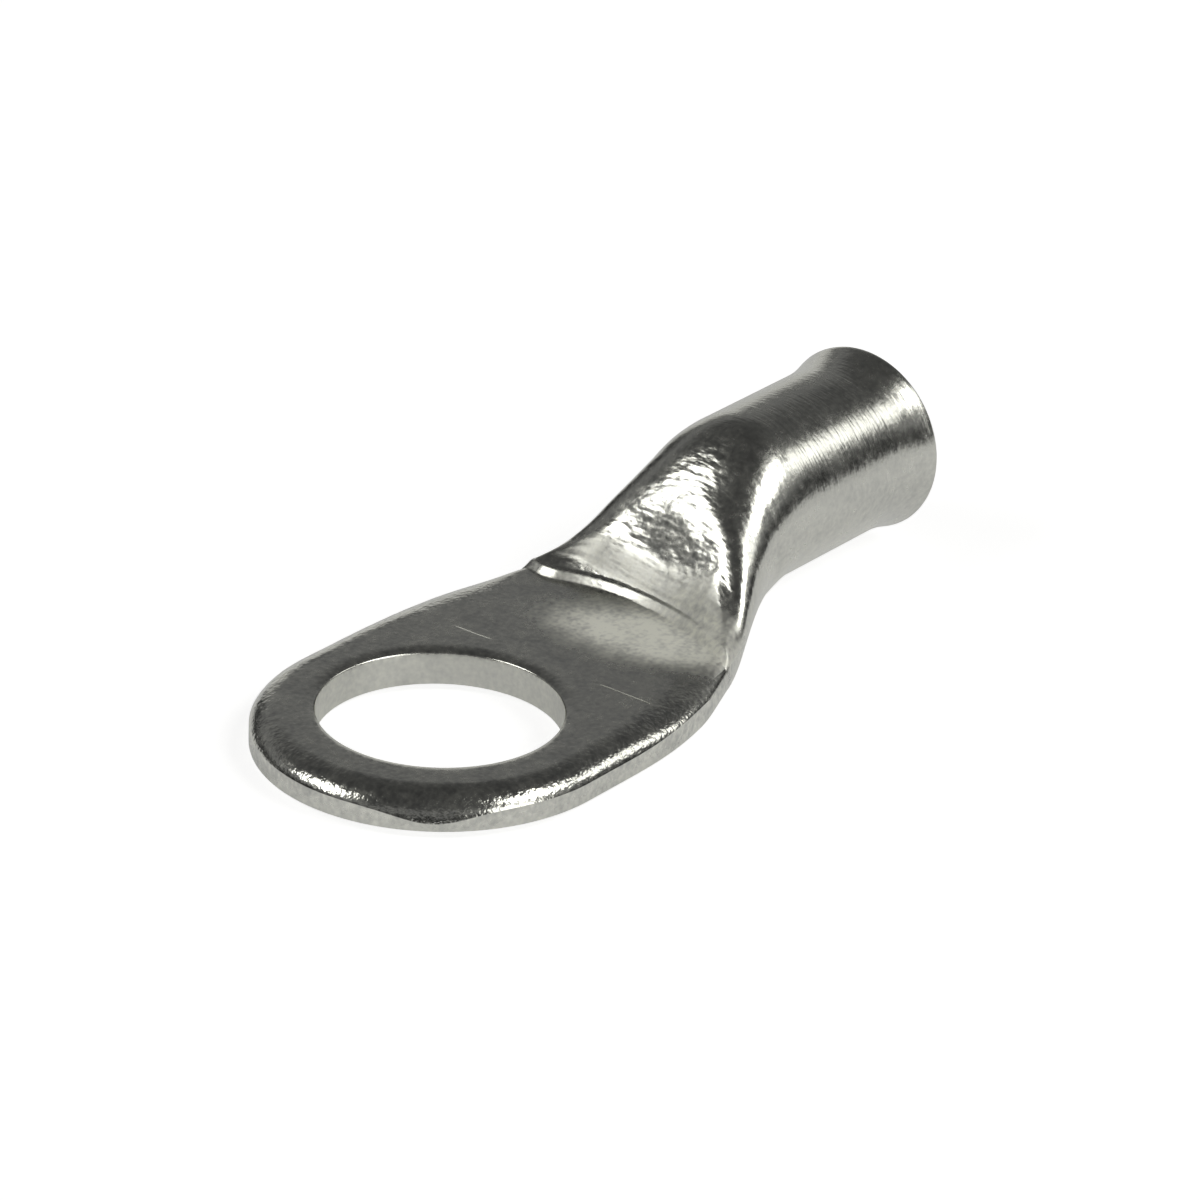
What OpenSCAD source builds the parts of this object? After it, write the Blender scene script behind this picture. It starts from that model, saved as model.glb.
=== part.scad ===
// Ring terminal: a tube cable lug with a bell mouth, pressed from one length of copper tube.
// Frame: origin on the stud hole's axis at the underside of the palm, +X to the mouth, +Z up.
// Millimetres and degrees.

/* [Stud hole] */
// Diameter of the stud hole, which clears an M10 stud
stud_hole_d = 10.5; // [8.4:0.1:12.6]
// Radius of the rolled edge where the punch entered the hole
hole_edge_r = 0.2; // [0.05:0.05:0.35]

/* [Palm] */
// Thickness of the flattened palm
palm_t = 1.6; // [1.3:0.1:2.2]
// Width of the palm across the stud hole
palm_w = 16; // [14:0.2:20]
// Distance from the hole's centre to the palm's tip
tip_reach = 8.2; // [7:0.1:10]
// Distance from the hole's centre to where the palm begins to narrow
shoulder_x = 1.9; // [0.5:0.1:6]
// Width of the palm at the press line
press_w = 12.6; // [11:0.1:14]
// Slope of the palm's outline at the press line
waist_slope = -0.44; // [-0.6:0.02:-0.2]
// How far the palm is trimmed off centre
palm_offset = -0.1; // [-0.3:0.05:0.3]
// Radius of the upper edge of the palm
top_edge_r = 1; // [0.3:0.05:1.05]
// Radius of the lower edge of the palm
bottom_edge_r = 0.1; // [0.05:0.01:0.14]
// Length over which the palm's edges round off before the press line
fold_len = 3.2; // [2:0.1:5]

/* [Barrel] */
// Outside diameter of the tube
barrel_od = 7.8; // [6.5:0.1:9.4]
// Wall of the tube
wall = 0.95; // [0.7:0.05:1.2]
// Height of the barrel's underside above the palm's underside
barrel_rise = 0.25; // [-0.4:0.05:1.5]
// Distance from the hole's centre to the end of the mouth
mouth_x = 29.4; // [27:0.1:40]

/* [Bell mouth] */
// How far the tube's radius grows at the bell mouth
bell_flare = 0.35; // [0.1:0.05:1.5]
// Length over which the tube flares
bell_len = 2.6; // [1.5:0.1:4]
// Radius on the outer edge of the mouth
rim_r = 0.15; // [0.05:0.05:0.3]

/* [Pressed neck] */
// Distance from the hole's centre to the middle of the press line across the palm
press_x = 13.5; // [12:0.1:16]
// Length of the neck along its top, from the press line to the round barrel
neck_len = 7.2; // [7:0.1:9]
// Length over which the neck's sides draw in to the tube's width
side_len = 4.8; // [3.5:0.1:6.5]
// Length of the flat triangle that the punch leaves
facet_len = 4.7; // [3.5:0.1:6]
// Distance from the triangle's corners to the sides at the press line
facet_inset = 0.75; // [0.4:0.05:1.2]
// Depth of the hollow across the triangle
scoop_depth = 0.25; // [0:0.05:0.5]
// Length of the hollow at the foot of the neck
foot_len = 1; // [0.5:0.1:1.2]
// Length over which the neck eases into the top of the barrel
crown_len = 6; // [3:0.1:6.2]
// Fullness of the shoulders: 2 is round and more is squarer
shoulder_full = 2.4; // [2:0.1:2.8]
// Width of the lower corners as a share of half the neck's height
lower_corner = 0.62; // [0.4:0.02:1]
// How far the middle of the press line bows towards the barrel
press_bow = 1.05; // [0:0.05:1.5]
// Turn of the press line from square across the lug
press_turn = 5.7; // [-6:0.1:6]

/* [Hidden] */

// Steps along each flat and each edge arc of a half section
flat_n = 7;
arc_n = 8;
half_n = 2 * flat_n + 2 * arc_n + 1;
// Sections round the tip, along the palm, up the neck and into the barrel
tip_n = 16;
palm_n = 10;
neck_n = 24;
flare_n = 8;
// Steps round the turned parts
round_n = 96;
// Step round the mouth's rolled edge, in degrees
rim_step = 30;

press_half_w = press_w / 2;
barrel_r = barrel_od / 2;
bore_r = barrel_r - wall;
axis_z = barrel_rise + barrel_r;
neck_end = press_x + neck_len;
bell_x = mouth_x - bell_len;
bell_r = barrel_r + bell_flare;
// How the sides draw in: 1 is straight and more is hollow
side_power = 1.5;
// The triangle's half width never falls below this share, which keeps its points apart
facet_least = 0.01;
// Share of the neck over which its points move to an even spread, and the finer steps for it
even_by = 0.6;
fine = 4;
// The lofts end inside the round barrel and its bore, a little smaller than they are
loft_gap = 0.025;
loft_overlap = 0.8;
// Where the seam between the two pressed walls opens into the cavity, and its gap
seam_s = 0.14;
seam_gap = 0.12;
// The first ring lies this far round from the tip, which keeps its flats open
first_angle = 2.5;
// How far cuts run past a face, and how far the rolled edge's cut overlaps the hole
cut_past = 1;
cut_overlap = 0.1;

function mix(a, b, k) = a + (b - a) * k;
function clamp01(k) = min(1, max(0, k));
function ease(k) = let (c = clamp01(k)) c * c * (3 - 2 * c);

// A straight climb from 0 to 1 whose ends are rounded over the shares a and b of its run
function climb(k, a, b) =
    let (c = clamp01(k), full = 1 - a / 2 - b / 2)
    (c < a ? c * c / (2 * a) : c < 1 - b ? c - a / 2 : full - pow(1 - c, 2) / (2 * b)) / full;

// The neck: s runs from 0 at the press line to 1 where the barrel is round
function neck_top(s) =
    mix(palm_t, axis_z + barrel_r, climb(s, foot_len / neck_len, crown_len / neck_len));
function neck_bottom(s) = barrel_rise * ease(s);
function neck_half_w(s) =
    mix(barrel_r, press_half_w, pow(clamp01(1 - s * neck_len / side_len), side_power));
function facet_half_w(s) =
    (press_half_w - facet_inset) * max(1 - s * neck_len / facet_len, facet_least);
function scoop(s) = scoop_depth * sin(180 * clamp01(s * neck_len / facet_len));

// The palm's outline from the hole to the press line, as one cubic
function palm_half_w(x) =
    let (run = press_x - shoulder_x, u = clamp01((x - shoulder_x) / run))
    mix(palm_w / 2, press_half_w, u * u * (3 - 2 * u)) + waist_slope * run * u * u * (u - 1);

// Half of a section, from its top middle round its side to its bottom middle, as [y, z].
// upper and lower are the half axes of the corners, across and up. m multiplies the steps.
function half_section(half_w, top, bottom, upper, lower, full, dish, m) = concat(
    [for (k = [0:m * flat_n - 1])
        let (u = k / flat_n / m)
        [(half_w - upper[0]) * u, top - dish * pow(1 - u * u, 2)]],
    [for (k = [0:m * arc_n])
        let (a = 90 - 90 * k / arc_n / m)
        [half_w - upper[0] * (1 - pow(cos(a), 2 / full)), top - upper[1] * (1 - pow(sin(a), 2 / full))]],
    [for (k = [1:m * arc_n])
        let (a = -90 * k / arc_n / m)
        [half_w - lower[0] * (1 - cos(a)), bottom + lower[1] * (1 + sin(a))]],
    [for (k = [1:m * flat_n])
        [(half_w - lower[0]) * (1 - k / flat_n / m), bottom]]
);

// The same number of points spread evenly round half a circle about the barrel's axis
function half_circle(r) =
    [for (k = [0:half_n - 1])
        let (a = 90 - 180 * k / (half_n - 1))
        [r * cos(a), axis_z + r * sin(a)]];

// Thins a fine half section to half_n points, moved by a share towards an even spread along it
function spread(half, share) =
    let (last = len(half) - 1,
         along = [for (i = 0, sum = 0; i <= last;
             sum = sum + (i < last ? norm(half[i + 1] - half[i]) : 0), i = i + 1) sum],
         ys = [for (i = [0:last]) [along[i], half[i][0]]],
         zs = [for (i = [0:last]) [along[i], half[i][1]]])
    [for (k = [0:half_n - 1])
        let (t = mix(along[k * fine], along[last] * k / (half_n - 1), share))
        [lookup(t, ys), lookup(t, zs)]];

// How far along the lug the press line moves a point at y: it bows and turns
function press_shift(y) = -press_bow * pow(y / press_half_w, 2) + y * tan(press_turn);
function shift_share(x) =
    x < press_x ? ease(x / press_x) : pow(clamp01((neck_end - x) / neck_len), 2);
function offset_at(x) = palm_offset * (1 - ease((x - press_x) / neck_len));

// A closed ring of points from a half section set at x
function ring(x, half) =
    let (place = function (y, z) [x + shift_share(x) * press_shift(y), y + offset_at(x), z])
    concat([for (p = half) place(p[0], p[1])],
           [for (i = [len(half) - 2:-1:1]) place(-half[i][0], half[i][1])]);

// A ring at an angle round the tip: the edge follows the outline, the flats run straight across
function tip_ring(angle) =
    let (a = tip_reach, b = palm_w / 2,
         outline = [-a * cos(angle), b * sin(angle)],
         n = [-cos(angle) / a, sin(angle) / b] / norm([cos(angle) / a, sin(angle) / b]),
         half = half_section(b, palm_t, 0, [top_edge_r, top_edge_r],
             [bottom_edge_r, bottom_edge_r], 2, 0, 1),
         place = function (p, side)
             let (edge_r = p[1] > palm_t / 2 ? top_edge_r : bottom_edge_r,
                  inset = min(b - p[0], edge_r),
                  at = outline - n * inset,
                  share = inset < edge_r ? 1 : p[0] / (b - edge_r))
             [at[0], side * at[1] * share + palm_offset, p[1]])
    concat([for (p = half) place(p, 1)],
           [for (i = [len(half) - 2:-1:1]) place(half[i], -1)]);

function palm_ring(x) =
    let (fold = ease((x - press_x + fold_len) / fold_len), t = palm_t / 2)
    ring(x, half_section(palm_half_w(x), palm_t, 0,
        mix([top_edge_r, top_edge_r], [facet_inset, t], fold),
        mix([bottom_edge_r, bottom_edge_r], [lower_corner * t, t], fold), 2, 0, 1));

// A section of the neck, or of the cavity an inset inside it
function neck_half(s, inset) =
    let (gap = inset + loft_gap * clamp01(s),
         middle = (neck_top(s) + neck_bottom(s)) / 2,
         r = max((neck_top(s) - neck_bottom(s)) / 2 - gap, seam_gap / 2),
         half_w = neck_half_w(s) - gap,
         facet = min(facet_half_w(s), half_w - r / 2),
         easing = ease(2 * s - 1))
    spread(half_section(half_w, middle + r, middle - r, [half_w - facet, r],
        [mix(lower_corner, 1, easing) * r, r], mix(shoulder_full, 2, easing),
        min(scoop(s), r), fine), ease(s / even_by));

function neck_ring(s, inset) = ring(mix(press_x, neck_end, s), neck_half(s, inset));

// Skins a list of equal rings with quads. The first ring is closed by strips across the arcs and
// one face over each flat, whose points lie in a line, and the last ring by a single face.
module loft(rings) {
    n = len(rings[0]);
    last = (len(rings) - 1) * n;
    lower = flat_n + 2 * arc_n - 1;
    flat_top = [for (i = [flat_n + 1:-1:-flat_n - 1]) (i + n) % n];
    flat_bottom = [for (i = [n - lower:-1:lower]) i];
    strips = [for (i = [flat_n + 1:lower - 1]) [i, n - i, n - i - 1, i + 1]];
    walls = [for (r = [0:len(rings) - 2], i = [0:n - 1])
        let (j = (i + 1) % n)
        [r * n + i, r * n + j, (r + 1) * n + j, (r + 1) * n + i]];
    end = [for (i = [0:n - 1]) last + i];
    polyhedron(points = [for (r = rings) each r],
        faces = concat([flat_top, flat_bottom], strips, walls, [end]));
}

// The palm and the neck as one skin, from the tip to just inside the barrel
module outer_skin() {
    loft(concat(
        [for (i = [0:tip_n - 1]) tip_ring(mix(first_angle, 90, i / tip_n))],
        [for (i = [0:palm_n - 1]) palm_ring(press_x * i / palm_n)],
        [for (i = [0:neck_n]) neck_ring(i / neck_n, 0)],
        [ring(neck_end + loft_overlap, half_circle(barrel_r - loft_gap))]));
}

// The space inside the neck, from the closed seam to just inside the straight bore
module cavity() {
    loft(concat(
        [for (i = [0:neck_n]) neck_ring(mix(seam_s, 1, i / neck_n), wall)],
        [ring(neck_end + loft_overlap, half_circle(bore_r - loft_gap))]));
}

// Points of the flare, as [radius, x], for a tube that is straight at from_r up to the bell
function flare(from_r, end_x) =
    [for (i = [0:flare_n])
        let (u = i / flare_n)
        [from_r + bell_flare * u * u, mix(bell_x, end_x, u)]];

// Turns a profile given as [radius, x] round the barrel's axis
module turned(profile) {
    translate([0, 0, axis_z]) rotate([0, 90, 0]) rotate_extrude($fn = round_n) polygon(profile);
}

module barrel() {
    rim = [for (a = [rim_step:rim_step:90])
        [bell_r - rim_r + rim_r * cos(a), mouth_x - rim_r + rim_r * sin(a)]];
    turned(concat([[0, neck_end], [barrel_r, neck_end]], flare(barrel_r, mouth_x - rim_r),
        rim, [[0, mouth_x]]));
}

module bore() {
    turned(concat([[0, neck_end], [bore_r, neck_end]], flare(bore_r, mouth_x),
        [[bell_r - wall, mouth_x + cut_past], [0, mouth_x + cut_past]]));
}

// The stud hole with the rolled edge that the punch leaves on the upper face
module stud_hole() {
    r = stud_hole_d / 2;
    translate([0, 0, -cut_past]) cylinder(h = palm_t + 2 * cut_past, r = r, $fn = round_n);
    rotate_extrude($fn = round_n) difference() {
        translate([r - cut_overlap, palm_t - hole_edge_r])
            square([hole_edge_r + cut_overlap, hole_edge_r + cut_past]);
        translate([r + hole_edge_r, palm_t - hole_edge_r]) circle(r = hole_edge_r, $fn = round_n);
    }
}

module lug() {
    color([0.75, 0.75, 0.73]) difference() {
        union() {
            outer_skin();
            barrel();
        }
        stud_hole();
        bore();
        cavity();
    }
}

lug();
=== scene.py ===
"""Looks of the ring terminal: a tin-plated tube lug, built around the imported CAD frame.

Shapes are worked out in millimetres in the CAD's own frame (origin on the stud hole's axis at
the underside of the palm, +X to the mouth, +Z up) and scaled to metres when a mesh is made.
"""

import math

import bmesh
import bpy
import numpy as np
from mathutils import Matrix, Vector, noise


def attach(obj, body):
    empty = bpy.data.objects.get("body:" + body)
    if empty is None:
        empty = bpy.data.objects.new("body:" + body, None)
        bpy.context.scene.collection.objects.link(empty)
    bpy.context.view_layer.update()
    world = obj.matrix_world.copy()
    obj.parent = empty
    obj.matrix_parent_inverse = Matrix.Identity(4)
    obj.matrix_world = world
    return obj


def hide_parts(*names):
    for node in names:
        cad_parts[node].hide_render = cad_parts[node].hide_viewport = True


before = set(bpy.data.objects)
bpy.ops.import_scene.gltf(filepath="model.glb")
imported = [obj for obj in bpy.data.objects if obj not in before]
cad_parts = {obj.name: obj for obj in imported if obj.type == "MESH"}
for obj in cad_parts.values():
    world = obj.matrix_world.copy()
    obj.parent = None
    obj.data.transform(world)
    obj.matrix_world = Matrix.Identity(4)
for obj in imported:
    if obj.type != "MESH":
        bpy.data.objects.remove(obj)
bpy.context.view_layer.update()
MM = 0.001

# ------------------------------------------------------------------ sizes, as in the CAD source
HOLE_R = 5.25
PALM_T = 1.6
PALM_HALF_W = 8.0
TIP_REACH = 8.2
SHOULDER_X = 1.9
WAIST_SLOPE = -0.44
PALM_OFFSET = -0.1
TOP_EDGE_W = 1.45
TOP_EDGE_R = 1.0
BOTTOM_EDGE_R = 0.1
FOLD_LEN = 3.2
BARREL_R = 3.9
WALL = 0.95
BARREL_RISE = 0.25
MOUTH_X = 29.4
BELL_R = 4.25
BELL_LEN = 2.6
RIM_R = 0.15
PRESS_X = 13.5
PRESS_HALF_W = 6.3
NECK_LEN = 7.2
SIDE_LEN = 4.8
SIDE_POWER = 1.5
FACET_LEN = 4.7
NEAR_FACET_LEN = 3.5
FACET_INSET = 0.75
SCOOP_DEPTH = 0.25
FOOT_LEN = 1.0
CROWN_LEN = 6.0
SHOULDER_FULL = 2.4
LOWER_CORNER = 0.62
PRESS_BOW = 1.05
PRESS_TURN = 5.7
NECK_END = PRESS_X + NECK_LEN
AXIS_Z = BARREL_RISE + BARREL_R
BORE_R = BARREL_R - WALL
# the rolled upper edge meets the sheared band at this angle from upright
SHEAR_CUT = 17.0
# where the lofted body takes over from the sheets round the hole
SPLIT_X = 8.6
# the step that the punch's edge leaves: distances past its foot, and the rise there
STEP_T = [-0.16, -0.1, -0.03, 0.0, 0.03, 0.34, 0.37, 0.52]
STEP_RISE = [0.0, -0.014, -0.014, 0.0, 0.02, 0.32, 0.335, 0.35]
# how far the step runs ahead of the press line: in the middle, and more with the square of the
# distance from it on the far and on the near side, out to a reach
STEP_LEAD = 0.22
STEP_BEND_FAR = 0.032
STEP_BEND_NEAR = 0.016
STEP_REACH = 4.3
# past the step the punched face climbs at this slope until it meets the neck's own climb, and
# at a gentler one by the ends of the press line
FACE_SLOPE = 1.15
FACE_END_SLOPE = 0.5
# the fuller face gives way to the CAD's neck over this run past the press line
FACE_FADE_START = 1.0
FACE_FADE_LEN = 1.4
# the face is fullest this far past the press line, in a low brow across the neck
BROW_T = 2.45
BROW_LEN = 0.9
BROW_H = 0.17
# how fast the far side of the neck drops away where the press rolled it over
ROLL_DROP = 0.015
# the rolled edge is widest along the palm's waist, which begins here and takes this run
WAIST_EDGE_W = 2.1
WAIST_EDGE_X = 3.0
WAIST_EDGE_RUN = 7.0
# where round the tip the shear tore the band thinnest, in degrees, how widely and how deep
TORN_AT = -38
TORN_SPREAD = 14
TORN_DIP = 0.7
# how far from the hole's wall its upper edge was rolled over, and how deep
ROLL_W = 0.7
ROLL_H = 0.16
# marks on the palm's upper face, each given by its middle, its direction in degrees and its sizes:
# a pale, dull patch that is a painted reflection of the neck, and two scratches
PAINTED_REFLECTION_PATCH = ((11.0, -2.1), 100, 6.6, 3.4)
SCRATCHES = (((6.3, 3.45), 92, 2.2, 0.06, 0.03), ((6.2, -5.0), 91, 3.2, 0.06, 0.0))
# the share of the palm's thickness above which a point counts as its upper face
UPPER_FACE = 0.85

# points across a section: the flat top, each side, the flat underside
TOP_N = 80
ARC_N = 24
UNDER_N = 80


# ------------------------------------------------------------------ shape functions
def mix(a, b, k):
    return a + (b - a) * k


def clamp01(k):
    return np.clip(k, 0.0, 1.0)


def ease(k):
    c = clamp01(k)
    return c * c * (3 - 2 * c)


def climb(k, a, b):
    """A straight climb from 0 to 1 whose ends are rounded over the shares a and b of its run."""
    c = clamp01(k)
    full = 1 - a / 2 - b / 2
    low, high = c * c / (2 * a), full - (1 - c) ** 2 / (2 * b)
    return np.where(c < a, low, np.where(c < 1 - b, c - a / 2, high)) / full


def neck_top(s):
    share = climb(s, FOOT_LEN / NECK_LEN, CROWN_LEN / NECK_LEN)
    return float(mix(PALM_T, AXIS_Z + BARREL_R, share))


def neck_bottom(s):
    return float(BARREL_RISE * ease(s))


def neck_half_w(s):
    left = float(clamp01(1 - s * NECK_LEN / SIDE_LEN))
    return BARREL_R + (PRESS_HALF_W - BARREL_R) * left**SIDE_POWER


def facet_half_w(s, length=FACET_LEN):
    """Half width of the flat triangle that the punch leaves, which closes up the neck."""
    k = 1 - s * NECK_LEN / length
    return (PRESS_HALF_W - FACET_INSET) * 0.5 * (k + math.hypot(k, 0.08))


def scoop(s):
    return SCOOP_DEPTH * math.sin(math.pi * float(clamp01(s * NECK_LEN / FACET_LEN)))


def palm_half_w(x):
    run = PRESS_X - SHOULDER_X
    u = float(clamp01((x - SHOULDER_X) / run))
    return mix(PALM_HALF_W, PRESS_HALF_W, u * u * (3 - 2 * u)) + WAIST_SLOPE * run * u * u * (u - 1)


def press_shift(y):
    return -PRESS_BOW * (y / PRESS_HALF_W) ** 2 + y * math.tan(math.radians(PRESS_TURN))


def past_step(t, y):
    """Distance past the foot of the step, whose ends run a little ahead of the press line."""
    bend = np.where(y > 0, STEP_BEND_FAR, STEP_BEND_NEAR)
    lead = -STEP_LEAD - bend * np.minimum(np.abs(y), STEP_REACH) ** 2
    return t - lead - 0.45 * ease((y - 4.8) / 1.4)


def face_rise(t, y):
    """How far the punched face stands over the CAD's smooth foot, t past the press line at y.
    Out at the ends of the press line the step is left as a small ledge."""
    past = past_step(t, y)
    slope = mix(FACE_SLOPE, FACE_END_SLOPE, ease((np.abs(y) - 3.0) / 2.0))
    face = np.interp(past, STEP_T, STEP_RISE) + slope * np.maximum(past - STEP_T[-1], 0)
    smooth = neck_top(max(t, 0.0) / NECK_LEN) - PALM_T
    blend = 0.25 * ease(past / 0.6)
    rise = (face - smooth + np.hypot(face - smooth, blend)) / 2
    return rise * (1 - ease((t - FACE_FADE_START) / FACE_FADE_LEN))


def shift_share(x):
    if x < PRESS_X:
        return ease(x / PRESS_X)
    return clamp01((NECK_END - x) / NECK_LEN) ** 2


def offset_at(x):
    return PALM_OFFSET * (1 - ease((x - PRESS_X) / NECK_LEN))


def outline(half_w, top, bottom, upper, lower, full=2.0, dish=0.0, cut=0.0, fine=1):
    """A closed section as (y, z) rows: over the top from -y to +y, down the side and back
    underneath. upper and lower are the corners' half axes, across and up; full squares the
    shoulders, and cut is the angle at which the shoulder's arc stops short of the side."""
    a = np.radians(np.linspace(90, cut, ARC_N * fine + 1))
    b = np.radians(np.linspace(0, -90, ARC_N * fine + 1))[1:]
    across = np.abs(np.cos(a)) ** (2 / full) - math.cos(math.radians(cut)) ** (2 / full)
    up = np.abs(np.sin(a)) ** (2 / full) - 1
    shoulder = np.stack([half_w + upper[0] * across, top + upper[1] * up], 1)
    u = np.linspace(-1, 1, TOP_N * fine + 1)
    over = np.stack([shoulder[0, 0] * u, top - dish * (1 - u * u) ** 2], 1)
    shoulder = shoulder[1:]
    foot = np.stack([half_w + lower[0] * (np.cos(b) - 1), bottom + lower[1] * (np.sin(b) + 1)], 1)
    v = np.linspace(1, -1, UNDER_N * fine + 1)[1:-1]
    under = np.stack([(half_w - lower[0]) * v, np.full_like(v, bottom)], 1)
    right = np.concatenate([shoulder, foot])
    return np.concatenate([over, right, under, right[::-1] * [-1, 1]])


RING_N = len(outline(5, 1, 0, (0.5, 0.5), (0.5, 0.5)))


def lengths(p):
    """How far along the closed line p each of its points lies, and the whole length last."""
    steps = np.diff(np.vstack([p, p[:1]]), axis=0)
    return np.concatenate([[0], np.cumsum(np.linalg.norm(steps, axis=1))])


def section(half_w, top, bottom, upper, lower, even, full=2.0, dish=0.0, cut=0.0):
    """The outline with its points moved towards an even spread round it, by the share even."""
    coarse = outline(half_w, top, bottom, upper, lower, full, dish, cut)
    if even == 0:
        return coarse
    fine = outline(half_w, top, bottom, upper, lower, full, dish, cut, 6)
    t_fine, t = lengths(fine), lengths(coarse)
    total = t_fine[-1]
    t = t[:-1] * total / t[-1]
    t_even = t_fine[TOP_N * 3] + (np.arange(RING_N) - TOP_N / 2) * total / RING_N
    at = np.mod(mix(t, t_even, even), total)
    closed = np.vstack([fine, fine[:1]])
    return np.stack([np.interp(at, t_fine, closed[:, 0]), np.interp(at, t_fine, closed[:, 1])], 1)


def circle(r):
    return section(r, AXIS_Z + r, AXIS_Z - r, (r, r), (r, r), 1.0)


def place(x, sec):
    """Sets a section at x, with the bow and turn of the press line."""
    y = sec[:, 0]
    return np.stack([x + shift_share(x) * press_shift(y), y + offset_at(x), sec[:, 1]], 1)


def fold_at(x):
    """How far the palm's sides have folded up at x: 0 along the palm, 1 at the press line."""
    return float(ease((x - PRESS_X + FOLD_LEN) / FOLD_LEN))


def top_edge(x, dip=0.0):
    """The rounded upper edge: its half axes across and up, and the angle where it meets the
    sheared band below it. It widens along the palm's waist and closes at the press line. dip
    takes it further down."""
    fold = fold_at(x)
    waist = float(ease((x - WAIST_EDGE_X) / WAIST_EDGE_RUN))
    wide = mix(TOP_EDGE_W, WAIST_EDGE_W, waist)
    up = mix(TOP_EDGE_R + dip, PALM_T / 2, max(fold, waist))
    return (mix(wide, FACET_INSET, fold), up), SHEAR_CUT * (1 - fold)


def palm_section(x):
    fold = fold_at(x)
    half_t = PALM_T / 2
    upper, cut = top_edge(x)
    lower = (mix(BOTTOM_EDGE_R, LOWER_CORNER * half_t, fold), mix(BOTTOM_EDGE_R, half_t, fold))
    return section(palm_half_w(x), PALM_T, 0, upper, lower, 0, cut=cut)


def neck_section(s, inset=0.0, dish=0.0, roll=0.0, brow=0.0):
    """The section at s up the neck, or the one of the cavity an inset inside it. Its near half is
    round, with a flat that closes sooner, and its far half has the full shoulder. roll (0 to 1)
    starts the far side's rounding nearer the middle and lets it drop; brow raises the top."""
    half_w = neck_half_w(s) - inset
    middle = (neck_top(s) + neck_bottom(s)) / 2
    r = max((neck_top(s) - neck_bottom(s)) / 2 - inset, 0.06)
    easing = float(ease(2 * s - 1))
    facet = min(facet_half_w(s), half_w - r / 2)
    lower = (mix(LOWER_CORNER, 1, easing) * r, r)
    even = float(ease(2 * s))
    flat = facet if inset else min(facet, facet_half_w(s, NEAR_FACET_LEN))
    near = section(half_w, middle + r, middle - r, (half_w - flat, r), lower, even, 2.0, dish)
    full = mix(SHOULDER_FULL, 2, easing)
    flat = facet * (1 - 0.5 * roll)
    far = section(half_w, middle + r, middle - r, (half_w - flat, r), lower, even, full, dish)
    y, z = np.where(near[:, :1] > 0, far, near).T
    upper = clamp01((z - middle) / r)
    return np.stack([y, z + (brow - ROLL_DROP * roll * np.maximum(y, 0) ** 2) * upper], 1)


# ------------------------------------------------------------------ mesh
def grid_faces(first, second):
    """Quads between two lists of vertex numbers that go round the same way."""
    return [(a, b, c, d) for a, b, c, d in zip(first, second, second[1:], first[1:])]


class Skin:
    """Collects vertices and faces, and for each vertex what the relief and the material read:
    grain (the rolled, grainy rim), drawn (metal stretched by the press), tube (the round tube),
    wall (the punched hole's wall, and half of it on the sheared band), rub (metal rubbed soft by
    the press), lay (distances along and round the lug), lift (the relief's height) and crease
    (the line where the rolled edge meets the sheared band)."""

    MARKS = ("grain", "drawn", "tube", "wall", "rub", "lift", "crease")

    def __init__(self):
        self.verts, self.lay, self.faces = [], [], []
        self.marks = {name: [] for name in self.MARKS}
        self.count = 0

    def add(self, points, lay=None, **marks):
        n = len(points)
        ids = list(range(self.count, self.count + n))
        self.verts.append(np.asarray(points, float))
        self.lay.append(self.verts[-1] if lay is None else lay)
        for name in self.MARKS:
            value = np.asarray(marks.get(name, 0.0), float)
            self.marks[name].append(np.broadcast_to(value, (n,)).copy())
        self.count += n
        return ids

    def bridge(self, a, b, closed=True):
        if closed:
            a, b = a + a[:1], b + b[:1]
        self.faces += grid_faces(a, b)


def rough_lines(u, v, along, across):
    """Noise along a ring at u, for the distances v round it; along and across say how many
    marks there are to a millimetre each way."""
    return np.array([noise.noise(Vector((u * along, w * across, 3.7))) for w in v])


def raise_face(sec, t, middle):
    """Stretches the upper half of a section so that its top follows the punched face."""
    sec = sec.copy()
    upper = sec[:, 1] > middle
    top = sec[:, 1].max()
    rise = face_rise(t, sec[upper, 0])
    sec[upper, 1] += rise * (sec[upper, 1] - middle) / (top - middle)
    return sec


def step_rub(t, sec):
    """Marks the face of the step at the press line."""
    past = past_step(t, sec[:, 0])
    on_step = ease((past + 0.08) / 0.08) * (1 - ease((past - 0.34) / 0.08))
    return 0.3 * on_step * (sec[:, 1] > PALM_T / 2)


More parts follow.
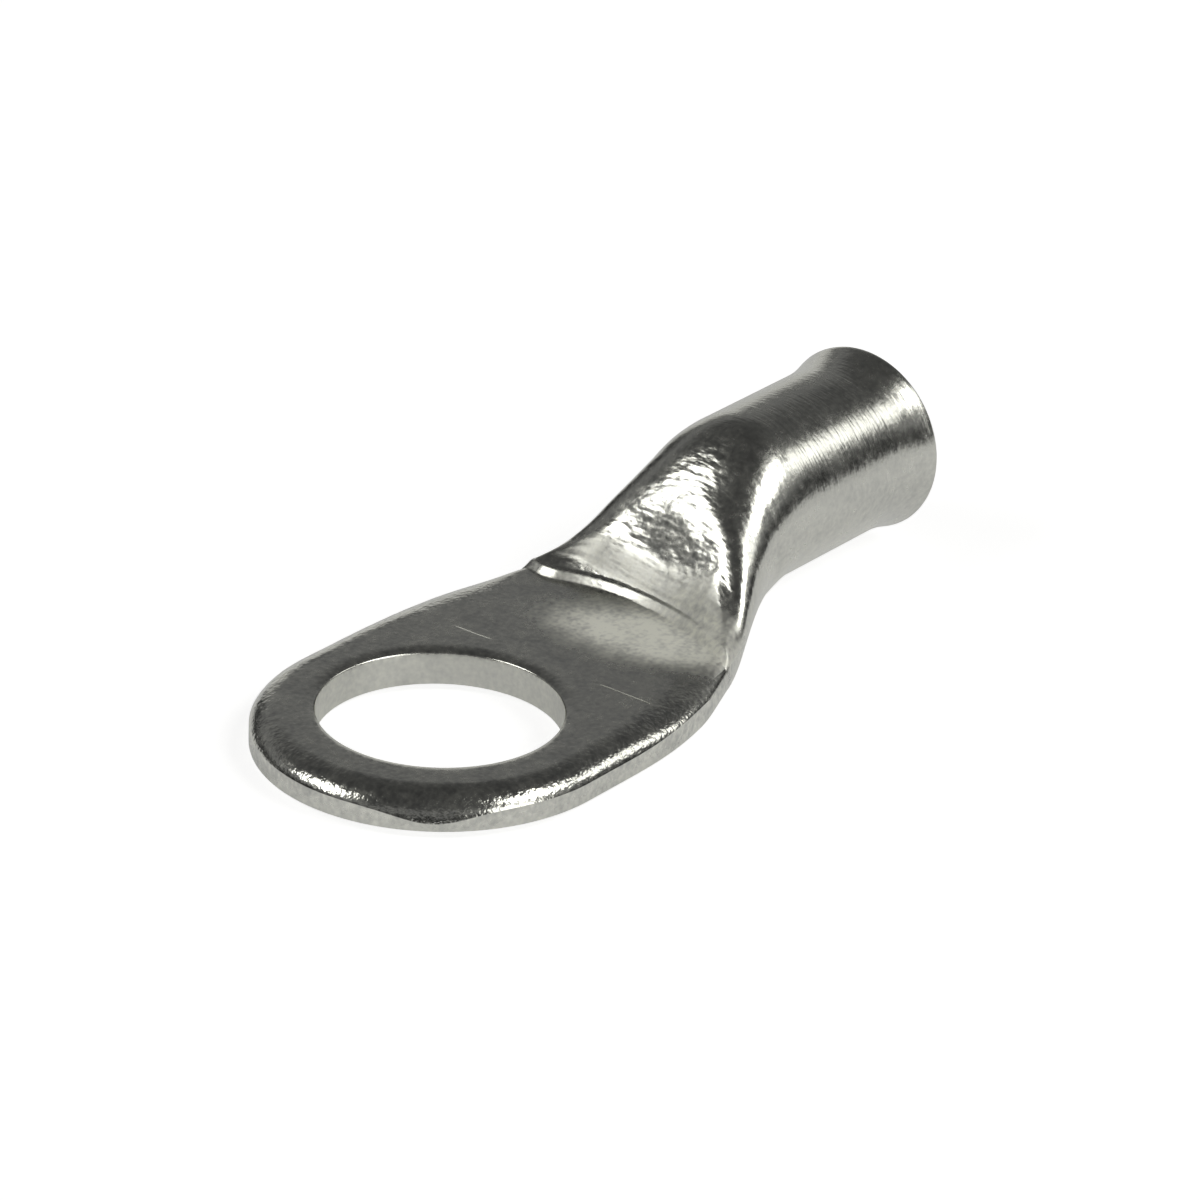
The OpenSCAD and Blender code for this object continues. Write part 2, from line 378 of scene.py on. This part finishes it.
def add_ring(skin, x, sec, kind):
    """Adds a ring of the lofted body with the marks of the metal that it passes through."""
    around = lengths(sec)
    total = around[-1]
    v = around[:-1] - around[TOP_N // 2]
    v = np.where(v > total / 2, v - total, v)
    lay = np.column_stack([np.full(len(v), x), v, np.zeros(len(v))])
    t = x - PRESS_X
    if kind == "inside":
        return skin.add(place(x, sec), lay)
    if kind == "palm":
        if t > -1.6:
            sec = raise_face(sec, t, PALM_T / 2)
        crease = np.zeros(len(sec))
        crease[[TOP_N + ARC_N, RING_N - ARC_N]] = x < PRESS_X - 1.5
        beyond = np.abs(sec[:, 0]) - (palm_half_w(x) - top_edge(x)[0][0])
        edge = clamp01(beyond / 0.4) * (1 - ease((x - 10.0) / 3)) * (sec[:, 1] > 0.6)
        drawn = 0.25 * ease((x - 11) / 2)
        marks = dict(grain=edge, drawn=drawn, rub=step_rub(t, sec), crease=crease)
        return skin.add(place(x, sec), lay, **marks)
    s = t / NECK_LEN
    if kind == "barrel" or s >= 1:
        return skin.add(place(x, sec), lay, tube=1.0)
    middle = (neck_top(s) + neck_bottom(s)) / 2
    sec = raise_face(sec, t, middle)
    # the drawn metal: the punched triangle, its ridges and the shoulders beside them
    facet = np.where(v < 0, facet_half_w(s, NEAR_FACET_LEN), facet_half_w(s))
    beyond = np.abs(v) - facet - 0.5
    drawn = (1 - 0.6 * ease(beyond / 0.8)) * (1 - ease((beyond - 2.4) / 1.2))
    drawn = drawn * (1 - float(ease((t - 4.4) / 2.2)))
    calm = float(ease((t - 0.5) / 0.9))
    far = 1 - 0.8 * ease((v - 0.8 * facet_half_w(s)) / 1.4)
    blob = 1 - 0.6 * np.exp(-((t - 2.8) / 0.7) ** 2 - (v / 1.4) ** 2)
    wrinkles = 0.016 * rough_lines(x, v, 3.6, 1.0) + 0.009 * rough_lines(x, v, 8.0, 2.4)
    lift = drawn * calm * far * blob * wrinkles
    # flow lines just above the press line, where the punch's edge rubbed the metal
    wave = np.array([noise.noise(Vector((w * 0.3, 1.3, 8.1))) for w in v])
    near = float(ease((t - 0.1) / 0.3) * (1 - ease((t - 0.8) / 0.9)))
    on_face = 1 - ease((np.abs(v) - facet) / 0.4 + 1)
    lift += 0.008 * near * np.sin(2 * math.pi * t / 0.34 + 2.4 * wave) * on_face
    rub = np.maximum(near * on_face, step_rub(t, sec))
    marks = dict(drawn=drawn * far * blob * mix(0.5, 1.0, calm), tube=1 - drawn, rub=rub, lift=lift)
    return skin.add(place(x, sec), lay, **marks)


def ring_rows():
    """The lofted body's rings in order: position, section and the metal they pass through."""
    rows = [(x, palm_section(x), "palm") for x in np.linspace(SPLIT_X, 12.0, 26)]
    rows += [(x, palm_section(x), "palm") for x in np.arange(12.04, PRESS_X + 0.01, 0.04)]
    # the rings stand closest over the step and the face above it
    steps = np.concatenate([np.arange(0.04, 0.8, 0.04), np.arange(0.8, 4.9, 0.06),
                            np.linspace(4.9, NECK_LEN, 20)])
    for t in steps:
        s = t / NECK_LEN
        roll = float(ease((t - 0.9) / 1.6) * (1 - ease((t - 3.6) / 2.6)))
        brow = math.exp(-((t - BROW_T) / BROW_LEN) ** 2)
        flat = float(ease(facet_half_w(s, NEAR_FACET_LEN) / 1.6))
        dish = mix(0.5 * scoop(s), -0.1, brow) * flat
        rows.append((PRESS_X + t, neck_section(s, 0, dish, roll, BROW_H * brow), "neck"))
    bell_x, grow = MOUTH_X - BELL_LEN, BELL_R - BARREL_R
    rows += [(x, circle(BARREL_R), "barrel") for x in np.linspace(NECK_END, bell_x, 28)[1:]]
    for u in np.linspace(0, 1, 20)[1:]:
        rows.append((mix(bell_x, MOUTH_X - RIM_R, u), circle(BARREL_R + grow * u * u), "barrel"))
    for a in np.radians((30, 60, 90)):
        rim = circle(BELL_R - RIM_R + RIM_R * math.cos(a))
        rows.append((MOUTH_X - RIM_R + RIM_R * math.sin(a), rim, "inside"))
    inner_lip = BELL_R - WALL
    rows.append((MOUTH_X, circle(inner_lip + 0.05), "inside"))
    rows.append((MOUTH_X - 0.05, circle(inner_lip), "inside"))
    for u in np.linspace(1, 0, 10)[1:]:
        rows.append((mix(bell_x, MOUTH_X, u), circle(BORE_R + grow * u * u), "inside"))
    rows += [(x, circle(BORE_R), "inside") for x in np.linspace(bell_x, NECK_END, 8)[1:]]
    for s in np.linspace(1, 0.15, 18)[1:]:
        rows.append((mix(PRESS_X, NECK_END, s), neck_section(s, WALL), "inside"))
    return rows


def edge_arc(base, normal, x, dip):
    """The palm's edge at a point of its outline: rolled over above, sheared upright below."""
    (across, up), cut = top_edge(x, dip)
    a = np.radians(np.linspace(90, cut, ARC_N + 1))
    b = np.radians(np.linspace(0, -90, ARC_N + 1))[1:]
    out = np.concatenate([across * (np.cos(a) - math.cos(math.radians(cut))),
                          BOTTOM_EDGE_R * (np.cos(b) - 1)])
    z = np.concatenate([PALM_T - up * (1 - np.sin(a)), BOTTOM_EDGE_R * (1 + np.sin(b))])
    return np.column_stack([base[None, :] + out[:, None] * normal[None, :], z])


def side_point(x, side):
    y = side * palm_half_w(x)
    return np.array([x + shift_share(x) * press_shift(y), y + PALM_OFFSET])


def edge_stations():
    """Stations along the palm's outline, from the +Y side round to the -Y side: the point, its
    outward normal, the x that its edge is shaped for, and how far the shear tore the edge down."""
    sides = {}
    for side in (1, -1):
        sides[side] = []
        for x in np.linspace(SPLIT_X, 0, 66)[1:-1]:
            t = side_point(x + 0.01, side) - side_point(x - 0.01, side)
            n = np.array([-t[1], t[0]]) * side
            sides[side].append((side_point(x, side), n / np.linalg.norm(n), x, 0.0))
    tip = []
    for a in np.radians(np.linspace(90, -90, 201)):
        p = np.array([-TIP_REACH * math.cos(a), PALM_HALF_W * math.sin(a) + PALM_OFFSET])
        n = np.array([-math.cos(a) / TIP_REACH, math.sin(a) / PALM_HALF_W])
        # the shear tore unevenly: the band below it is thinnest on the near side of the tip
        torn = 0.03 * noise.noise(Vector((4 * a, 0.5, 0.5)))
        torn += TORN_DIP * math.exp(-((math.degrees(a) - TORN_AT) / TORN_SPREAD) ** 2)
        tip.append((p, n / np.linalg.norm(n), 0.0, torn))
    return sides[1] + tip + sides[-1][::-1]


def build_lug():
    skin = Skin()
    # the lofted body: from the split line up the neck, through the barrel and back inside it
    ids = [add_ring(skin, *row) for row in ring_rows()]
    for a, b in zip(ids, ids[1:]):
        skin.bridge(a, b)
    skin.faces.append(tuple(ids[-1]))

    # the edge strip round the tip, which carries on from the first ring's two edges
    first = ids[0]
    over = first[:TOP_N + 1]
    right = first[TOP_N + 1:TOP_N + 1 + 2 * ARC_N]
    under = first[TOP_N + 1 + 2 * ARC_N:TOP_N + 2 * ARC_N + UNDER_N]
    left = first[TOP_N + 2 * ARC_N + UNDER_N:]
    strips = [[over[-1]] + right]
    crease = np.arange(2 * ARC_N + 1) == ARC_N
    for base, normal, x, dip in edge_stations():
        points = edge_arc(base, normal, x, dip)
        grain = clamp01((np.arange(len(points)) - 1) / 5) * (np.arange(len(points)) <= ARC_N)
        lift = 0.006 * np.array([noise.noise(Vector(p) * 2.2) for p in points]) * (grain > 0)
        band = 0.5 * (np.arange(len(points)) > ARC_N)
        strips.append(skin.add(points, grain=grain, wall=band, lift=lift, crease=crease))
    strips.append([over[0]] + left[::-1])
    for a, b in zip(strips, strips[1:]):
        skin.faces += grid_faces(a, b)

    # the upper face, from the strip and the split line in to the hole's rolled edge
    top_loop = [s[0] for s in strips[1:-1]] + over
    low_loop = [s[-1] for s in strips[1:-1]] + [left[0]] + under[::-1] + [right[-1]]
    points = np.concatenate(skin.verts)
    top_xy, low_xy = points[top_loop][:, :2], points[low_loop][:, :2]
    toward = top_xy / np.linalg.norm(top_xy, axis=1)[:, None]

    def level(xy, z, **marks):
        return skin.add(np.column_stack([xy, np.full(len(xy), z)]), **marks)

    last = top_loop
    for u in np.linspace(0, 1, 13)[1:]:
        now = level(mix(top_xy, (HOLE_R + ROLL_W) * toward, u), PALM_T)
        skin.bridge(last, now)
        last = now
    # the rolled edge and the wall of the hole
    for a in np.radians(np.linspace(0, 90, 10))[1:]:
        r = HOLE_R + ROLL_W * (1 - math.sin(a))
        now = level(r * toward, PALM_T - ROLL_H * (1 - math.cos(a)), wall=0.25 * (a > 1.4))
        skin.bridge(last, now)
        last = now
    for z in np.linspace(PALM_T - ROLL_H, 0, 7)[1:]:
        now = level(HOLE_R * toward, z, wall=1.0)
        skin.bridge(last, now)
        last = now
    # the underside, from the hole back out to the strip
    for u in np.linspace(0, 1, 7)[1:-1]:
        now = level(mix(HOLE_R * toward, low_xy, u), 0.0)
        skin.bridge(last, now)
        last = now
    skin.bridge(last, low_loop)
    return skin


def make_mesh(name, skin, smooth_angle):
    """The skin as a Blender mesh in metres, lifted along its normals by the relief."""
    mesh = bpy.data.meshes.new(name)
    mesh.from_pydata((np.concatenate(skin.verts) * MM).tolist(), [], skin.faces)
    bm = bmesh.new()
    bm.from_mesh(mesh)
    bmesh.ops.recalc_face_normals(bm, faces=bm.faces)
    bm.normal_update()
    lift = np.concatenate(skin.marks["lift"])
    for vert in bm.verts:
        vert.co += vert.normal * float(lift[vert.index]) * MM
    bm.to_mesh(mesh)
    bm.free()
    for mark in ("grain", "drawn", "tube", "wall", "rub"):
        layer = mesh.attributes.new(mark, "FLOAT", "POINT")
        layer.data.foreach_set("value", np.concatenate(skin.marks[mark]).astype(np.float32))
    layer = mesh.attributes.new("lay", "FLOAT_VECTOR", "POINT")
    layer.data.foreach_set("vector", np.concatenate(skin.lay).astype(np.float32).ravel())
    mesh.shade_smooth()
    mesh.set_sharp_from_angle(angle=math.radians(smooth_angle))
    creased = np.concatenate(skin.marks["crease"]) > 0.5
    for edge in mesh.edges:
        if creased[edge.vertices[0]] and creased[edge.vertices[1]]:
            edge.use_edge_sharp = True
    obj = bpy.data.objects.new(name, mesh)
    bpy.context.scene.collection.objects.link(obj)
    return obj


# ------------------------------------------------------------------ materials
class Graph:
    """A material and short ways to add its nodes. An input is a socket, a number or a tuple."""

    def __init__(self, name):
        self.material = bpy.data.materials.new(name)
        self.material.use_nodes = True
        self.tree = self.material.node_tree
        self.tree.nodes.clear()

    def add(self, kind, inputs=(), **settings):
        node = self.tree.nodes.new("ShaderNode" + kind)
        for key, value in settings.items():
            setattr(node, key, value)
        for key, value in dict(inputs).items():
            if isinstance(value, bpy.types.NodeSocket):
                self.tree.links.new(value, node.inputs[key])
            else:
                node.inputs[key].default_value = value
        return node

    def math(self, operation, a, b=0.0, c=0.0):
        return self.add("Math", {0: a, 1: b, 2: c}, operation=operation).outputs[0]

    def mark(self, name, output="Fac"):
        return self.add("Attribute", attribute_name=name).outputs[output]

    def scaled(self, vector, factors):
        return self.add("VectorMath", {0: vector, 1: factors}, operation="MULTIPLY").outputs[0]

    def noise(self, vector, scale, detail=2.0, rough=0.5):
        """Noise whose values lie about zero."""
        node = self.add("TexNoise", {"Vector": vector, "Scale": scale, "Detail": detail,
                                     "Roughness": rough})
        return self.math("SUBTRACT", node.outputs[0], 0.5)

    def fade(self, value, start, stop):
        """1 below start, 0 above stop, and smooth between."""
        inputs = {"Value": value, "From Min": start, "From Max": stop, "To Min": 1.0, "To Max": 0.0}
        return self.add("MapRange", inputs, interpolation_type="SMOOTHSTEP").outputs[0]

    def axes(self, at, origin, degrees):
        """Distances from a point of the palm along a direction and across it."""
        c, s = math.cos(math.radians(degrees)), math.sin(math.radians(degrees))
        off = self.add("VectorMath", {0: at, 1: (*origin, 0)}, operation="SUBTRACT").outputs[0]
        return [self.add("VectorMath", {0: off, 1: d}, operation="DOT_PRODUCT").outputs["Value"]
                for d in ((c, s, 0), (-s, c, 0))]

    def scratch(self, at, middle, degrees, length, width, bow=0.0):
        """A thin line on the palm, 1 along its middle. bow bends it, by the distance squared."""
        along, across = self.axes(at, middle, degrees)
        across = self.math("MULTIPLY_ADD", self.math("MULTIPLY", along, along), bow, across)
        line = self.fade(self.math("ABSOLUTE", across), 0.0, width)
        ends = self.fade(self.math("ABSOLUTE", along), length * 0.3, length / 2)
        return self.math("MULTIPLY", line, ends)

    def reflection_patch(self, at, middle, degrees, half_length, half_width):
        """A soft oval on the palm, 1 at its middle, which masks the painted reflection."""
        along, across = self.axes(at, middle, degrees)
        u, w = self.math("DIVIDE", along, half_length), self.math("DIVIDE", across, half_width)
        away = self.math("SQRT", self.math("MULTIPLY_ADD", u, u, self.math("MULTIPLY", w, w)))
        return self.fade(away, 0.0, 1.0)

    def bump(self, height, depth_mm, normal=None):
        inputs = {"Strength": 1.0, "Distance": depth_mm * MM, "Height": height}
        if normal is not None:
            inputs["Normal"] = normal
        return self.add("Bump", inputs).outputs[0]

    def finish(self, shader):
        self.add("OutputMaterial", {0: shader})
        return self.material


def tin_material():
    """Tin plate on copper: a soft satin metal, clouded and scratched on the palm, grainy where the
    rim was rolled, and wrinkled round the lug where the press drew the metal. A pale, rough, less
    metallic patch on the palm is a painted reflection. Distances are in millimetres."""
    g = Graph("tin")
    at = g.scaled(g.add("TexCoord").outputs["Object"], (1000.0, 1000.0, 1000.0))
    lay = g.mark("lay", "Vector")
    names = ("grain", "drawn", "tube", "wall", "rub")
    grain, drawn, tube, wall, rub = (g.mark(name) for name in names)
    cloud = g.noise(at, 0.8, 3.0, 0.6)
    speck = g.noise(at, 4.2, 1.0, 0.5)
    grit = g.noise(at, 5.5, 1.0, 0.6)
    wrinkle = g.noise(g.scaled(lay, (5.0, 1.5, 1.0)), 1.0, 1.0, 0.5)
    hair = g.noise(g.scaled(lay, (6.5, 0.8, 1.0)), 1.0, 1.0, 0.5)
    mottle = g.math("MULTIPLY_ADD", cloud, 1.1, speck)
    # painted reflection: a pale, rough, less metallic patch on the palm stands in for the neck's
    # light reflected there
    reflection_patch = g.reflection_patch(at, *PAINTED_REFLECTION_PATCH)
    reflection_patch = g.math("MULTIPLY", reflection_patch, g.math("MULTIPLY_ADD", mottle, 0.6, 1.4))
    reflection_patch = g.math("MINIMUM", reflection_patch, 1.0)
    marks = g.math("MAXIMUM", *(g.scratch(at, *scratch) for scratch in SCRATCHES))
    # the painted reflection patch and the scratches are on the palm's upper face only
    height = g.add("SeparateXYZ", {0: at}).outputs["Z"]
    on_top = g.math("GREATER_THAN", height, UPPER_FACE * PALM_T)
    reflection_patch, marks = g.math("MULTIPLY", reflection_patch, on_top), g.math("MULTIPLY", marks, on_top)

    # the fine relief: each bump's depth is in millimetres
    normal = g.bump(speck, 0.006)
    normal = g.bump(cloud, 0.012, normal)
    normal = g.bump(g.math("MULTIPLY", grit, grain), 0.022, normal)
    normal = g.bump(g.math("MULTIPLY", wrinkle, drawn), 0.036, normal)
    normal = g.bump(g.math("MULTIPLY", hair, tube), 0.013, normal)
    normal = g.bump(marks, -0.02, normal)

    # the tone: less mottled on the tube and on the sheared walls, paler on the scratches and on the
    # patch, where a reflection is painted in
    mottled = g.math("MULTIPLY_ADD", g.math("MAXIMUM", wall, tube), -0.5, 1.0)
    tone = g.math("MULTIPLY_ADD", mottle, mottled, 0.55)
    tone = g.math("MULTIPLY_ADD", reflection_patch, 0.4, g.math("ADD", tone, marks))
    ramp = g.add("ValToRGB", {0: tone})
    ramp.color_ramp.elements[0].color = (0.46, 0.465, 0.45, 1)
    ramp.color_ramp.elements[1].color = (0.95, 0.95, 0.87, 1)
    rough = g.math("MULTIPLY_ADD", cloud, 0.2, g.math("MULTIPLY_ADD", speck, 0.16, 0.23))
    rough = g.math("MULTIPLY_ADD", grain, -0.04, rough)
    rough = g.math("MULTIPLY_ADD", rub, 0.28, rough)
    rough = g.math("MULTIPLY_ADD", reflection_patch, 0.6, rough)
    rough = g.math("MULTIPLY_ADD", wall, 0.2, rough)
    # the painted reflection patch is rougher, and it and the scratches are less metallic
    shader = g.add("BsdfPrincipled", {
        "Base Color": ramp.outputs[0],
        "Metallic": g.math("MULTIPLY_ADD", g.math("MAXIMUM", reflection_patch, marks), -0.7, 1.0),
        "Roughness": rough, "Normal": normal})
    return g.finish(shader.outputs[0])


def floor_material():
    """A pale floor that is white to the eye and light grey in the metal, and keeps the shadow."""
    g = Graph("floor")
    path = g.add("LightPath")
    seen = g.math("MULTIPLY", path.outputs["Is Camera Ray"], 0.8)
    glow = g.math("MULTIPLY_ADD", path.outputs["Is Glossy Ray"], 0.32, seen)
    shine = g.add("Emission", {"Color": (1, 1, 1, 1), "Strength": glow})
    diffuse = g.add("BsdfDiffuse", {"Color": (0.5, 0.5, 0.5, 1)})
    return g.finish(g.add("AddShader", {0: diffuse.outputs[0], 1: shine.outputs[0]}).outputs[0])


def softbox_material(name, width, height, strength, soft):
    """A glow that fades towards the card's edges over the share soft of its half size."""
    g = Graph(name)
    place_on = g.add("SeparateXYZ", {0: g.add("TexCoord").outputs["Object"]})
    fade = 1.0
    for axis, size in (("X", width), ("Y", height)):
        share = g.math("MULTIPLY", g.math("ABSOLUTE", place_on.outputs[axis]), 2 / size)
        fade = g.math("MULTIPLY", g.fade(share, 1 - soft, 1.0), fade)
    glow = g.math("MULTIPLY", fade, strength)
    shine = g.add("Emission", {"Color": (1, 0.995, 0.96, 1), "Strength": glow})
    return g.finish(shine.outputs[0])


# ------------------------------------------------------------------ the object
lug = make_mesh("terminal", build_lug(), 32)
lug.data.materials.append(tin_material())
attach(lug, "root")
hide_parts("lug")


# ------------------------------------------------------------------ studio
# how far from the object the glowing cards stand, in metres
CARD_DISTANCE = 0.6


def direction(azimuth, elevation):
    """A unit vector at an azimuth from +X towards +Y and an elevation, in degrees."""
    a, e = math.radians(azimuth), math.radians(elevation)
    return Vector((math.cos(a) * math.cos(e), math.sin(a) * math.cos(e), math.sin(e)))


def plane(name, centre, facing, width, height, material):
    """A flat card at centre (metres) that faces along a direction."""
    mesh = bpy.data.meshes.new(name)
    w, h = width / 2, height / 2
    mesh.from_pydata([(-w, -h, 0), (w, -h, 0), (w, h, 0), (-w, h, 0)], [], [(0, 1, 2, 3)])
    mesh.materials.append(material)
    obj = bpy.data.objects.new(name, mesh)
    bpy.context.scene.collection.objects.link(obj)
    turn = Vector(facing).to_track_quat("Z", "Y").to_matrix().to_4x4()
    obj.matrix_world = Matrix.Translation(centre) @ turn
    return obj


def softbox(name, azimuth, elevation, width, height, strength, soft):
    """A glowing card beside the object; width and height are the degrees that it spans."""
    w, h = (2 * CARD_DISTANCE * math.tan(math.radians(v / 2)) for v in (width, height))
    d = direction(azimuth, elevation)
    card = plane(name, d * CARD_DISTANCE, -d, w, h, softbox_material(name, w, h, strength, soft))
    card.visible_camera = False
    return card


plane("floor", (0, 0, -0.0003), (0, 0, 1), 6, 6, floor_material())
softbox("left_softbox", 138, 43, 32, 22, 4.2, 0.3)
softbox("right_softbox", -70, 49, 36, 24, 4.5, 0.3)
softbox("near_softbox", -97, 16, 42, 38, 2.2, 0.4)
softbox("side_softbox", -33, 33, 26, 22, 2.0, 0.6)
softbox("far_flat", 40, 4, 44, 22, 0.6, 0.4)

world = bpy.data.worlds.new("studio")
bpy.context.scene.world = world
world.use_nodes = True
sky = world.node_tree
height = sky.nodes.new("ShaderNodeSeparateXYZ")
sky.links.new(sky.nodes.new("ShaderNodeTexCoord").outputs["Generated"], height.inputs[0])
ramp = sky.nodes.new("ShaderNodeValToRGB")
sky.links.new(height.outputs["Z"], ramp.inputs[0])
levels = ((0.0, 0.015), (0.2, 0.03), (0.42, 0.19), (0.6, 0.07), (1.0, 0.05))
for position, level in levels[1:-1]:
    ramp.color_ramp.elements.new(position)
for element, (position, level) in zip(ramp.color_ramp.elements, levels):
    element.position, element.color = position, (level, level, level, 1)
sky.links.new(ramp.outputs[0], sky.nodes["Background"].inputs[0])

# ------------------------------------------------------------------ camera
AIM = Vector((6.15, -3.49, 5.53)) * MM
CAMERA_DISTANCE = 0.27336
CAMERA_AZIMUTH = -52.265
CAMERA_ELEVATION = 26.219
CAMERA_ROLL = 2.229


def add_camera():
    """A long lens, turned to the angles above. Azimuth 0 looks along +Y."""
    az, el, roll = (math.radians(v) for v in (CAMERA_AZIMUTH, CAMERA_ELEVATION, CAMERA_ROLL))
    back = Vector((math.sin(az) * math.cos(el), -math.cos(az) * math.cos(el), math.sin(el)))
    right = Vector((0, 0, 1)).cross(back).normalized()
    up = back.cross(right)
    right, up = (right * math.cos(roll) + up * math.sin(roll),
                 up * math.cos(roll) - right * math.sin(roll))
    data = bpy.data.cameras.new("camera")
    data.lens, data.sensor_width = 195, 36
    data.clip_start, data.clip_end = 0.01, 20
    camera = bpy.data.objects.new("camera", data)
    bpy.context.scene.collection.objects.link(camera)
    turn = Matrix((right, up, back)).transposed().to_4x4()
    camera.matrix_world = Matrix.Translation(AIM + back * CAMERA_DISTANCE) @ turn
    bpy.context.scene.camera = camera


add_camera()
bpy.context.scene.view_settings.view_transform = "Standard"
